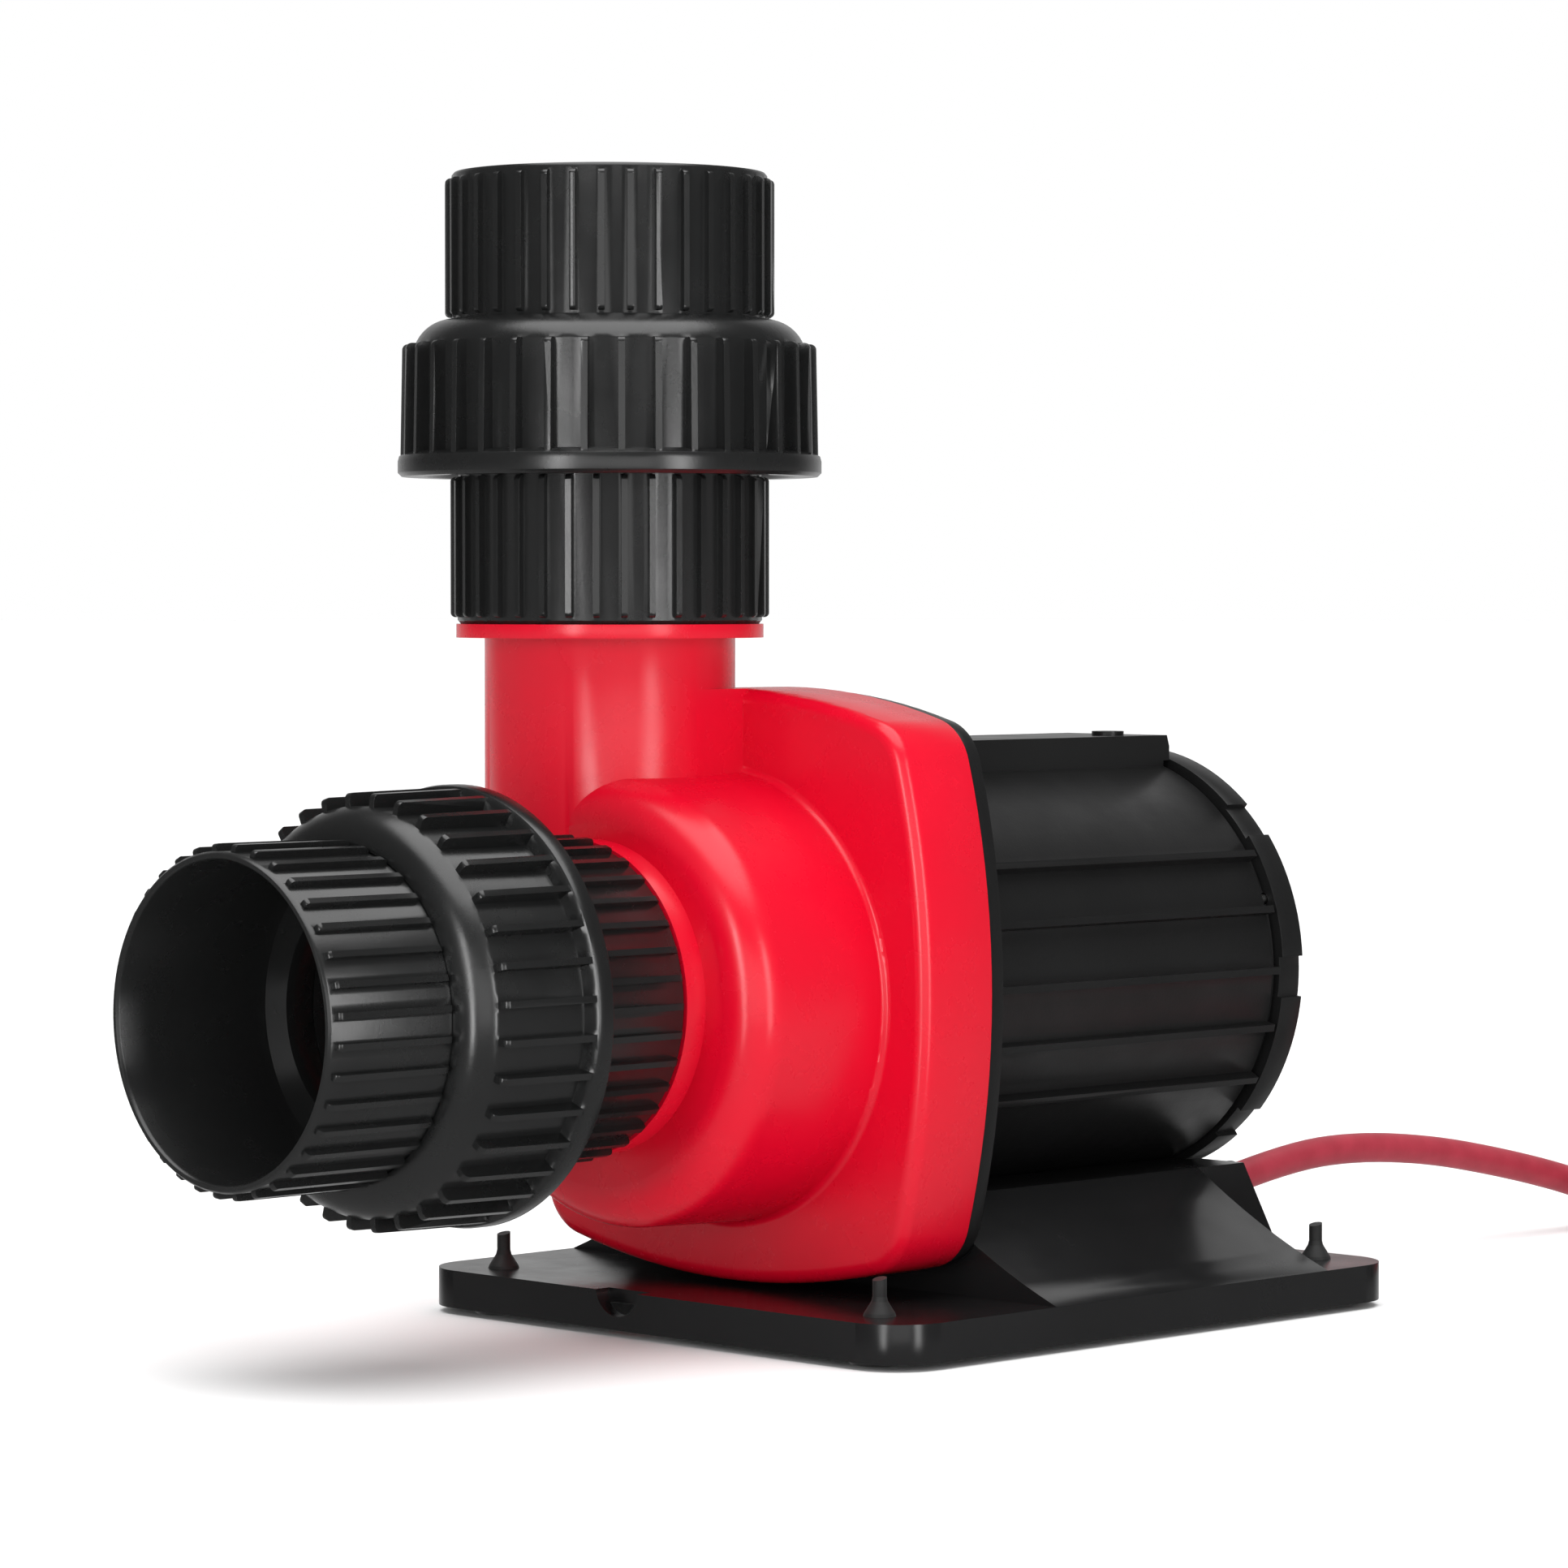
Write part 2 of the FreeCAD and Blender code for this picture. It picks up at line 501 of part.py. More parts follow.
def rear_cap():
    """Castellated end ring with a closing wall and a spigot; the recesses in its rim are finger grips."""
    shape = join([
        rod(CAP_NECK_R, BODY_REAR_Y, CAP_REAR_Y - 1),
        rod(CAP_R, CAP_FRONT_Y, CAP_REAR_Y),
        rod(MOTOR_BORE_R - 0.1, BODY_REAR_Y - 5, CAP_FRONT_Y)])
    shape = shape.cut(rod(MOTOR_BORE_R - 4, BODY_REAR_Y - 6, BODY_REAR_Y))
    shape = shape.cut(tube(MOTOR_BORE_R + 1, MOTOR_BORE_R - 2.4, BODY_REAR_Y - 3.6, BODY_REAR_Y - 1.2))
    shape = shape.cut(rod(38.0, CAP_REAR_Y - 2.0, CAP_REAR_Y + 1))
    shape = join([shape, tube(26.0, 24.5, CAP_REAR_Y - 3.0, CAP_REAR_Y - 1.0),
                  rod(9.0, CAP_REAR_Y - 3.0, CAP_REAR_Y - 1.0)])
    for index in range(8):
        recess = tube(60.0, CAP_R - 1.1, CAP_FRONT_Y - 1, CAP_REAR_Y + 1, centre=(0, 0))
        wedge = Part.makePolygon([Vec(0, 0, 0), Vec(70, 0, -6.6), Vec(70, 0, 6.6), Vec(0, 0, 0)])
        wedge = Part.Face(wedge).extrude(Vec(0, 400, 0))
        wedge.translate(Vec(0, -100, 0))
        recess = recess.common(wedge)
        recess.rotate(Vec(0, 0, 0), BACK, 2 + 45 * index)
        recess.translate(Vec(0, 0, AXIS_Z))
        shape = shape.cut(recess)
    for angle in CAP_SCREW_ANGLES:
        x = CAP_SCREW_R * math.cos(math.radians(angle))
        z = CAP_SCREW_R * math.sin(math.radians(angle))
        shape = shape.cut(rod(1.3, BODY_REAR_Y - 1, CAP_REAR_Y + 1, centre=(x, AXIS_Z + z)))
        shape = shape.cut(rod(2.3, CAP_REAR_Y - 2.0, CAP_REAR_Y + 1, centre=(x, AXIS_Z + z)))
    return shape


def machine_screw(head_r, head_h, shank_r, length, recess_r=1.5):
    """A pan-head screw standing on its tip: tip at z = 0, head on top, hexagon socket in the head."""
    head = Part.makeCylinder(head_r, head_h, Vec(0, 0, length))
    head = head.makeFillet(min(head_h, head_r) * 0.35, [head.Edges[0]])
    shank = Part.makeCylinder(shank_r, length + 0.2)
    points = [Vec(recess_r * math.cos(math.radians(60 * k)), recess_r * math.sin(math.radians(60 * k)),
                  length + head_h * 0.45) for k in range(7)]
    socket = Part.Face(Part.makePolygon(points)).extrude(Vec(0, 0, head_h))
    return join([head, shank]).cut(socket)


def casing_screws():
    screws = []
    for x, z in SCREW_SPOTS:
        screw = machine_screw(4.2, 2.6, 1.85, FLANGE_REAR_Y - 9.0, 1.6)
        screw.rotate(Vec(0, 0, 0), Vec(1, 0, 0), -90)
        screw.translate(Vec(x, 9.0, AXIS_Z + z))
        screws.append(screw)
    return Part.makeCompound(screws)


def rear_cap_screws():
    screws = []
    for angle in CAP_SCREW_ANGLES:
        screw = machine_screw(2.2, 1.5, 1.05, CAP_REAR_Y - 2.0 - BODY_REAR_Y + 7, 1.0)
        screw.rotate(Vec(0, 0, 0), Vec(1, 0, 0), -90)
        screw.translate(Vec(CAP_SCREW_R * math.cos(math.radians(angle)), BODY_REAR_Y - 7,
                            AXIS_Z + CAP_SCREW_R * math.sin(math.radians(angle))))
        screws.append(screw)
    return Part.makeCompound(screws)


def base_screws():
    screws = []
    for x, y in KEEL_SCREWS:
        screw = machine_screw(3.6, 2.2, 1.65, 8.2, 1.4)
        screw.rotate(Vec(0, 0, 0), Vec(1, 0, 0), 180)
        screw.translate(Vec(x, y, KEEL_Z + 5.2))
        screws.append(screw)
    return Part.makeCompound(screws)


# ---- base ----
SADDLE_TOP_Z = 29.4
SADDLE_HALF_X = 36.0
SADDLE_YS = (FLANGE_REAR_Y + 0.4, 111.9)
FLANK_SAG = 1.2
NOTCH_X = -9.3
TAIL_BLOCK_Y = 127.5
DECK_Z = KEEL_Z - SKIN


def flank_profile(y):
    """Saddle section: flat top and two hollow flanks that run out at the plate's edges."""
    low = PLATE_TOP_Z - 0.01
    mid_x = (SADDLE_HALF_X + PLATE_HALF_X) / 2 - FLANK_SAG * 0.46
    mid_z = (SADDLE_TOP_Z + low) / 2 - FLANK_SAG * 0.89
    right = Part.Arc(Vec(SADDLE_HALF_X, y, SADDLE_TOP_Z), Vec(mid_x, y, mid_z), Vec(PLATE_HALF_X, y, low))
    left = Part.Arc(Vec(-PLATE_HALF_X, y, low), Vec(-mid_x, y, mid_z), Vec(-SADDLE_HALF_X, y, SADDLE_TOP_Z))
    return Part.Face(Part.Wire([
        Part.makeLine(Vec(-SADDLE_HALF_X, y, SADDLE_TOP_Z), Vec(SADDLE_HALF_X, y, SADDLE_TOP_Z)),
        right.toShape(),
        Part.makeLine(Vec(PLATE_HALF_X, y, low), Vec(PLATE_HALF_X, y, low - 4)),
        Part.makeLine(Vec(PLATE_HALF_X, y, low - 4), Vec(-PLATE_HALF_X, y, low - 4)),
        Part.makeLine(Vec(-PLATE_HALF_X, y, low - 4), Vec(-PLATE_HALF_X, y, low)),
        left.toShape()]))


def base_plate():
    """One moulding: skirted plate, saddle under the motor and the cable block behind it."""
    plate = block(-PLATE_HALF_X, PLATE_HALF_X, PLATE_FRONT_Y, PLATE_REAR_Y, FOOT_STAND, PLATE_TOP_Z)
    plate = plate.makeFillet(PLATE_CORNER, [e for e in plate.Edges if e.BoundBox.ZLength > 5])
    hollow = block(SKIN - PLATE_HALF_X, PLATE_HALF_X - SKIN, PLATE_FRONT_Y + SKIN, PLATE_REAR_Y - SKIN,
                   0, PLATE_TOP_Z - SKIN)
    hollow = hollow.makeFillet(PLATE_CORNER - SKIN, [e for e in hollow.Edges if e.BoundBox.ZLength > 5])
    saddle = flank_profile(SADDLE_YS[0]).extrude(Vec(0, SADDLE_YS[1] - SADDLE_YS[0], 0))
    tail = side_prism([(100, 6), (100, SADDLE_TOP_Z), (TAIL_BLOCK_Y, SADDLE_TOP_Z), (PLATE_REAR_Y, 13.2),
                       (PLATE_REAR_Y, 6)], -SADDLE_HALF_X, SADDLE_HALF_X)
    outer = join([plate.cut(hollow), saddle, tail])
    room = Part.makePolygon([Vec(x, SADDLE_YS[0] + SKIN, z) for x, z in (
        (-70, 0), (70, 0), (70, 6), (66, 8.4), (46, DECK_Z - 1.2), (42, DECK_Z), (-42, DECK_Z),
        (-46, DECK_Z - 1.2), (-66, 8.4), (-70, 6), (-70, 0))])
    room = Part.Face(room).extrude(Vec(0, SADDLE_YS[1] - SADDLE_YS[0] - 2 * SKIN, 0))
    tail_room = side_prism([(100, 0), (100, DECK_Z), (128, DECK_Z), (PLATE_REAR_Y - 5.2, 12.0),
                            (PLATE_REAR_Y - 5.2, 0)], SKIN - SADDLE_HALF_X, SADDLE_HALF_X - SKIN)
    shape = outer.cut(join([room, tail_room]))
    cradle = join([rod(MOTOR_R + 0.25, SADDLE_YS[0] - 1, BODY_REAR_Y + 0.2),
                   rod(CAP_R + 0.8, BODY_REAR_Y, PLATE_REAR_Y + 5),
                   block(-KEEL_HALF_X - 0.2, KEEL_HALF_X + 0.2, KEEL_YS[0] - 0.2, KEEL_YS[1] + 0.2,
                         KEEL_Z, AXIS_Z)])
    shape = shape.cut(cradle)
    holes = [rod(1.8, KEEL_Z - 6, KEEL_Z + 1, UP, spot) for spot in KEEL_SCREWS]
    holes += [rod(2.0, 0, PLATE_TOP_Z + 1, UP, (sx * FOOT_X, y)) for sx in (-1, 1) for y in FOOT_YS]
    notch = Part.makeCylinder(6.5, 6.0, Vec(NOTCH_X, PLATE_FRONT_Y - 2, PLATE_TOP_Z + 1.2), BACK)
    shape = shape.cut(join([notch, gland_axis_rod(4.3, -12, 12)])).cut(Part.makeCompound(holes))
    stiffener = block(-PLATE_HALF_X + 1, PLATE_HALF_X - 1, 6, 8, FOOT_STAND + 1, PLATE_TOP_Z - 1)
    return join([shape, stiffener])


def rubber_feet():
    """Four pull-through feet: pad, neck, cone and the tail that was pulled to seat it."""
    feet = []
    under = PLATE_TOP_Z - SKIN
    for sx in (-1, 1):
        for y in FOOT_YS:
            foot = revolve_profile([
                (0, 0), (6.0, 0), (6.6, 0.6), (6.2, under), (1.9, under), (1.9, PLATE_TOP_Z),
                (3.4, PLATE_TOP_Z), (3.2, PLATE_TOP_Z + 0.6), (1.7, PLATE_TOP_Z + 3.0),
                (1.45, PLATE_TOP_Z + 4.0), (1.45, PLATE_TOP_Z + 8.0), (0, PLATE_TOP_Z + 8.0)])
            tip = Part.makeBox(6, 6, 3, Vec(-3, -3, PLATE_TOP_Z + 7.6))
            tip.rotate(Vec(0, 0, PLATE_TOP_Z + 7.6), Vec(1, 0, 0), 14)
            foot = foot.cut(tip)
            foot.translate(Vec(sx * FOOT_X, y, 0))
            feet.append(foot)
    return Part.makeCompound(feet)


# ---- lead ----
def gland_axis_rod(radius, start, end):
    """A round bar on the gland's own axis, measured from the block's rear face."""
    climb = math.radians(GLAND_RISE)
    direction = Vec(0, math.cos(climb), math.sin(climb))
    base = Vec(GLAND_X, GLAND_FACE_Y, GLAND_Z) + direction * start
    return Part.makeCylinder(radius, end - start, base, direction)


def cable_gland():
    """Moulded strain relief: plug in the block, round flange and a tapered, grooved sleeve."""
    relief = revolve_profile([
        (CORD_D / 2, -9), (4.25, -9), (4.25, 2.0), (6.4, 2.0), (6.4, 4.5), (5.6, 5.0), (5.3, 8.0), (4.9, 8.0),
        (4.9, 9.2), (5.2, 9.2), (5.0, 12.2), (4.6, 12.2), (4.6, 13.4), (4.9, 13.4), (4.7, 16.4),
        (4.4, 16.4), (4.4, 17.6), (4.6, 17.6), (4.4, RELIEF_LENGTH), (CORD_D / 2, RELIEF_LENGTH)])
    relief.rotate(Vec(0, 0, 0), Vec(1, 0, 0), -90 + GLAND_RISE)
    relief.translate(Vec(GLAND_X, GLAND_FACE_Y, GLAND_Z))
    return relief


def gland_point(distance):
    climb = math.radians(GLAND_RISE)
    return Vec(GLAND_X, GLAND_FACE_Y + distance * math.cos(climb), GLAND_Z + distance * math.sin(climb))


# The lead lies on the floor behind the pump: over the air from the gland, then into a storage coil.
CORD_ROUTE = [
    gland_point(RELIEF_LENGTH),
    Vec(8.2, 176.0, 25.0),
    Vec(8.8, 199.0, 26.0),
    Vec(9.8, 226.0, 23.6),
    Vec(10.8, 252.0, 18.8),
    Vec(11.8, 276.0, 13.3),
    Vec(12.8, 294.0, 7.8),
    Vec(13.5, 308.0, 4.2),
    Vec(COIL_CENTRE[0] - COIL_RADII[2], COIL_CENTRE[1], CORD_D / 2)]

TAIL_TOP_Z = CORD_D * (COIL_LAYERS - 0.5)
TAIL_X = COIL_CENTRE[0] + COIL_RADII[2]
TAIL_ROUTE = [
    Vec(TAIL_X, COIL_CENTRE[1], TAIL_TOP_Z),
    Vec(TAIL_X, COIL_CENTRE[1] - 22.0, TAIL_TOP_Z - 1.0),
    Vec(TAIL_X - 0.6, COIL_CENTRE[1] - 46.0, 17.0),
    Vec(TAIL_X - 1.6, COIL_CENTRE[1] - 68.0, CONNECTOR_R),
    Vec(TAIL_X - 2.4, COIL_CENTRE[1] - 84.0, CONNECTOR_R)]


def cord_path(route):
    """Straight runs joined by tangent arcs, each arc as large as its two runs allow."""
    edges = []
    radii = []
    here = route[0]
    length = 0.0
    for index in range(1, len(route) - 1):
        before = (route[index] - route[index - 1]).normalize()
        after = (route[index + 1] - route[index]).normalize()
        turn = before.getAngle(after)
        shorter = min((route[index] - route[index - 1]).Length, (route[index + 1] - route[index]).Length)
        setback = 0.45 * shorter
        radius = setback / math.tan(turn / 2)
        radii.append(round(radius, 1))
        start = route[index] - before * setback
        end = route[index] + after * setback
        inward = (after - before).normalize()
        depth = radius * (1 / math.cos(turn / 2) - 1)
        edges.append(Part.makeLine(here, start))
        edges.append(Part.Arc(start, route[index] + inward * depth, end).toShape())
        length += (start - here).Length + radius * turn
        here = end
    edges.append(Part.makeLine(here, route[-1]))
    length += (route[-1] - here).Length
    return Part.Wire(edges), radii, length


def cord_tube(name, route):
    wire, radii, length = cord_path(route)
    heading = (route[1] - route[0]).normalize()
    section = Part.Wire(Part.makeCircle(CORD_D / 2, route[0], heading))
    solid = wire.makePipeShell([section], True, True)
    expected = math.pi * (CORD_D / 2) ** 2 * length
    print(name, "radii", radii, "length", round(length, 1), "volume ratio", round(solid.Volume / expected, 4))
    return solid


def cord_coil():
    inner = COIL_RADII[0] - CORD_D / 2
    outer = COIL_RADII[2] + CORD_D / 2
    height = COIL_LAYERS * CORD_D
    centre = Vec(COIL_CENTRE[0], COIL_CENTRE[1], 0)
    ring = Part.makeCylinder(outer, height, centre).cut(Part.makeCylinder(inner, height, centre))
    return ring.makeFillet(CORD_D * 0.45, [e for e in ring.Edges if e.BoundBox.ZLength < 0.01])


def cord_connector():
    """Waterproof round connector: tapered tail, body, knurled locking ring and its open face with pins."""
    start = TAIL_ROUTE[-1]
    heading = (TAIL_ROUTE[-1] - TAIL_ROUTE[-2])
    heading = Vec(heading.x, heading.y, 0).normalize()
    shell = revolve_profile([
        (0, 0), (CORD_D / 2 + 0.9, 0), (CORD_D / 2 + 1.4, 8.0), (6.0, 12.0), (7.2, 14.0), (7.2, 26.0),
        (6.6, 26.5), (6.6, 27.5), (8.6, 28.0), (CONNECTOR_R, 28.6), (CONNECTOR_R, 42.0), (8.4, 43.0),
        (7.0, 43.0), (7.0, 34.0), (0, 34.0)])
    flutes = []
    for flute in around_z(Part.makeCylinder(0.7, 12.4, Vec(CONNECTOR_R + 0.25, 0, 29.4)), 24):
        flutes.append(flute)
    shell = shell.cut(Part.makeCompound(flutes))
    pins = around_z(Part.makeCylinder(0.8, 8.5, Vec(3.2, 0, 33.0)), 4)
    shell = join([shell] + pins)
    shell.rotate(Vec(0, 0, 0), Vec(1, 0, 0), 90)
    shell.rotate(Vec(0, 0, 0), UP, math.degrees(math.atan2(heading.x, -heading.y)))
    shell.translate(Vec(start.x, start.y, CONNECTOR_R))
    return shell


# ---- write every piece ----
export("volute_casing", volute_casing())
export_unions()
export("volute_seal", face_back(Part.makeTorus(CHAMBER_R - 1.15, 1.1, Vec(0, 0, 0)), 16.5))
export("shaft_spider", shaft_spider())
export("pump_shaft", rod(SHAFT_R, -36.0, 109.0))
export("front_thrust_washer", tube(7.8, SHAFT_R, -22.5, -19.4))
export("rear_thrust_washer", tube(7.8, SHAFT_R, 102.0, 104.5))
export("impeller", impeller())
export("rotor_hub", rotor_hub())
export("rotor_magnet", tube(MAGNET_R, HUB_R, 36.0, 97.0))
export("front_bush", tube(BUSH_R, SHAFT_R + RUNNING_CLEARANCE, -19.0, -3.0))
export("rear_bush", tube(BUSH_R, SHAFT_R + RUNNING_CLEARANCE, 85.5, 101.5))
export("rotor_can", rotor_can())
export("motor_housing", motor_housing())
export("deck_plug", deck_plug())
export("stator_core", stator_core())
export("stator_windings", stator_windings())
export("driver_board", driver_board())
export("board_parts", board_parts())
export("rear_cap", rear_cap())
export("rear_cap_seal", face_back(Part.makeTorus(MOTOR_BORE_R - 1.15, 1.1, Vec(0, 0, 0)), BODY_REAR_Y - 2.4))
export("rear_cap_screws", rear_cap_screws())
export("casing_screws", casing_screws())
export("base_screws", base_screws())
export("base_plate", base_plate())
export("rubber_feet", rubber_feet())
export("cable_gland", cable_gland())
export("power_cord", cord_tube("power_cord", CORD_ROUTE))
export("cord_coil", cord_coil())
export("cord_tail", cord_tube("cord_tail", TAIL_ROUTE))
export("cord_connector", cord_connector())
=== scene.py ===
import math
import bmesh
import bpy
from mathutils import Matrix, Vector


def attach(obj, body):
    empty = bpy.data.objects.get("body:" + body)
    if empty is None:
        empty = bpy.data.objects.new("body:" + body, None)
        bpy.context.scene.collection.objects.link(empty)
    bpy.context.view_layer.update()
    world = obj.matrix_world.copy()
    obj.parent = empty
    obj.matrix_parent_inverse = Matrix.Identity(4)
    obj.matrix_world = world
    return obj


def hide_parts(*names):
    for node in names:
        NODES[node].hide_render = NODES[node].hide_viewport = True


# Looks of a circulating pump with two pipe unions. Lengths are in metres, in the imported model's own frame:
# +Z up, the inlet looks along -Y, and the origin is the centre of the footprint on the floor.

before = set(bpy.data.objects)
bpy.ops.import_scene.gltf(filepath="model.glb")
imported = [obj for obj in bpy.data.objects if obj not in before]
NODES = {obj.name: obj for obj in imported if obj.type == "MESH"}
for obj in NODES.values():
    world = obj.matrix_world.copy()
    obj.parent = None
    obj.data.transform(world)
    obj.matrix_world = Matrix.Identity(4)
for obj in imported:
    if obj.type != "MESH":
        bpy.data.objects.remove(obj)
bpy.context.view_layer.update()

# ---- driving values ----
MM = 0.001
CORD_D = 7.0 * MM

CAMERA_AT = (0.8406, -0.82145, 0.1568)
CAMERA_TILT = 88.028
CAMERA_TURN = 45.035
CAMERA_LENS = 127.62
PAPER_SIDE = (-0.707, 0.707, 0.0)     # the white paper hangs this way from the pump
GRAIN_SCALE = 1400.0                  # cells a metre in the fine skin of mouldings
LIGHTS_AIM = (0, 0, 0.12)             # the softboxes face this point
SOFT_FILL = 0.56                      # strength of the room on matt surfaces
MIRROR_LOW = 0.28                     # strength of the room below the pump in a mirror
MIRROR_HIGH = 0.08                    # and above it
MIRROR_PAPER = 0.55                   # what the paper adds to both
EDGE_ANGLE = 40                       # corners sharper than this get a moulded radius, in degrees

# the lead, from the strain relief's tip to the coil, then from the coil to the connector
CORD_ROUTE = [
    (8.0, 157.15, 21.49), (8.2, 176.0, 25.0), (8.8, 199.0, 26.0), (9.8, 226.0, 23.6), (10.8, 252.0, 18.8),
    (11.8, 276.0, 13.3), (12.8, 294.0, 7.8), (13.5, 308.0, 4.2)]
TAIL_ROUTE = [(102.2, 298.0, 24.3), (101.6, 274.0, 17.0), (100.6, 252.0, 9.0), (99.8, 236.0, 9.0)]
COIL_CENTRE = (58.0, 320.0)
COIL_INNER_R = 30.2
COIL_RINGS = 3
COIL_LAYERS = 4
COIL_TURNS = 9.5
POINTS_PER_TURN = 24
FIRST_MOVE = 0.7            # turns before the lead first steps in to the next ring
MOVE_TURNS = 0.3            # each step to another ring or layer takes this much of a turn


# ---- materials ----
def new_material(name):
    material = bpy.data.materials.new(name)
    material.use_nodes = True
    nodes = material.node_tree.nodes
    links = material.node_tree.links
    shader = nodes["Principled BSDF"]
    place = nodes.new("ShaderNodeTexCoord")
    return material, nodes, links, shader, place.outputs["Object"]


def noise(nodes, links, vector, scale, detail=3.0, roughness=0.5, stretch=(1, 1, 1)):
    """Noise in the part's own space; its scale is in cells a metre."""
    mapping = nodes.new("ShaderNodeMapping")
    mapping.inputs["Scale"].default_value = stretch
    links.new(vector, mapping.inputs["Vector"])
    texture = nodes.new("ShaderNodeTexNoise")
    texture.inputs["Scale"].default_value = scale
    texture.inputs["Detail"].default_value = detail
    texture.inputs["Roughness"].default_value = roughness
    links.new(mapping.outputs["Vector"], texture.inputs["Vector"])
    return texture.outputs["Fac"]


def spread(nodes, links, value, low, high, from_low=0.3, from_high=0.7):
    """Turns a noise value into a number between low and high."""
    step = nodes.new("ShaderNodeMapRange")
    step.inputs["From Min"].default_value = from_low
    step.inputs["From Max"].default_value = from_high
    step.inputs["To Min"].default_value = low
    step.inputs["To Max"].default_value = high
    links.new(value, step.inputs["Value"])
    return step.outputs["Result"]


def tint(nodes, links, value, dark, light, from_low=0.3, from_high=0.7):
    """A colour between dark and light that follows a noise value."""
    ramp = nodes.new("ShaderNodeValToRGB")
    ramp.color_ramp.elements[0].position = from_low
    ramp.color_ramp.elements[0].color = (*dark, 1)
    ramp.color_ramp.elements[1].position = from_high
    ramp.color_ramp.elements[1].color = (*light, 1)
    links.new(value, ramp.inputs["Fac"])
    return ramp.outputs["Color"]


def bump(nodes, links, height, distance, strength=1.0, under=None):
    relief = nodes.new("ShaderNodeBump")
    relief.inputs["Distance"].default_value = distance
    relief.inputs["Strength"].default_value = strength
    links.new(height, relief.inputs["Height"])
    if under is not None:
        links.new(under, relief.inputs["Normal"])
    return relief.outputs["Normal"]


def moulding(name, dark, light, gloss, specular, grain=0.00003, ripple=0.0):
    """Injection-moulded plastic: faint tone changes, uneven polish, a fine skin and slow sink ripples."""
    material, nodes, links, shader, place = new_material(name)
    tone = noise(nodes, links, place, 22.0, 4.0)
    links.new(tint(nodes, links, tone, dark, light), shader.inputs["Base Color"])
    polish = noise(nodes, links, place, 75.0, 5.0, 0.6)
    links.new(spread(nodes, links, polish, gloss[0], gloss[1]), shader.inputs["Roughness"])
    skin = noise(nodes, links, place, GRAIN_SCALE, 2.0)
    normal = bump(nodes, links, skin, grain, 0.5)
    if ripple:
        waves = noise(nodes, links, place, 34.0, 1.0)
        normal = bump(nodes, links, waves, ripple, 1.0, normal)
    links.new(normal, shader.inputs["Normal"])
    shader.inputs["Specular IOR Level"].default_value = specular
    return material


def rubber(name, dark, light, gloss, specular, grain):
    material, nodes, links, shader, place = new_material(name)
    tone = noise(nodes, links, place, 160.0, 4.0)
    links.new(tint(nodes, links, tone, dark, light), shader.inputs["Base Color"])
    wear = noise(nodes, links, place, 420.0, 5.0, 0.7)
    links.new(spread(nodes, links, wear, gloss[0], gloss[1]), shader.inputs["Roughness"])
    links.new(bump(nodes, links, wear, grain, 0.8), shader.inputs["Normal"])
    shader.inputs["Specular IOR Level"].default_value = specular
    shader.inputs["Sheen Weight"].default_value = 0.06
    return material


def metal(name, colour, rough, stretch=(1, 1, 1), scale=900.0, depth=0.00002):
    material, nodes, links, shader, place = new_material(name)
    lines = noise(nodes, links, place, scale, 4.0, 0.6, stretch)
    links.new(spread(nodes, links, lines, rough[0], rough[1]), shader.inputs["Roughness"])
    dull = tuple(0.82 * c for c in colour)
    links.new(tint(nodes, links, lines, dull, colour), shader.inputs["Base Color"])
    links.new(bump(nodes, links, lines, depth, 0.6), shader.inputs["Normal"])
    shader.inputs["Metallic"].default_value = 1.0
    return material


def ceramic(name):
    material, nodes, links, shader, place = new_material(name)
    tone = noise(nodes, links, place, 300.0, 4.0)
    links.new(tint(nodes, links, tone, (0.70, 0.68, 0.62), (0.80, 0.79, 0.74)), shader.inputs["Base Color"])
    links.new(spread(nodes, links, tone, 0.10, 0.18), shader.inputs["Roughness"])
    links.new(bump(nodes, links, tone, 0.00001, 0.4), shader.inputs["Normal"])
    return material


def wound_copper(name):
    """Enamelled wire: fine parallel strands across each coil, with a lacquer coat."""
    material, nodes, links, shader, place = new_material(name)
    strands = nodes.new("ShaderNodeTexWave")
    strands.bands_direction = "Y"
    strands.inputs["Scale"].default_value = 320.0
    strands.inputs["Distortion"].default_value = 0.6
    links.new(place, strands.inputs["Vector"])
    wire = strands.outputs["Fac"]
    links.new(tint(nodes, links, wire, (0.34, 0.12, 0.03), (0.66, 0.27, 0.09), 0.1, 0.8),
              shader.inputs["Base Color"])
    links.new(bump(nodes, links, wire, 0.0002, 0.8), shader.inputs["Normal"])
    links.new(spread(nodes, links, wire, 0.42, 0.26, 0.0, 1.0), shader.inputs["Roughness"])
    shader.inputs["Metallic"].default_value = 0.9
    shader.inputs["Coat Weight"].default_value = 0.4
    return material


def board_laminate(name):
    material, nodes, links, shader, place = new_material(name)
    tracks = nodes.new("ShaderNodeTexVoronoi")
    tracks.feature = "DISTANCE_TO_EDGE"
    tracks.inputs["Scale"].default_value = 190.0
    links.new(place, tracks.inputs["Vector"])
    edge = tracks.outputs["Distance"]
    links.new(tint(nodes, links, edge, (0.02, 0.13, 0.05), (0.01, 0.06, 0.03), 0.02, 0.06),
              shader.inputs["Base Color"])
    links.new(bump(nodes, links, edge, 0.00005, 0.6), shader.inputs["Normal"])
    links.new(spread(nodes, links, edge, 0.24, 0.34, 0.0, 0.5), shader.inputs["Roughness"])
    return material


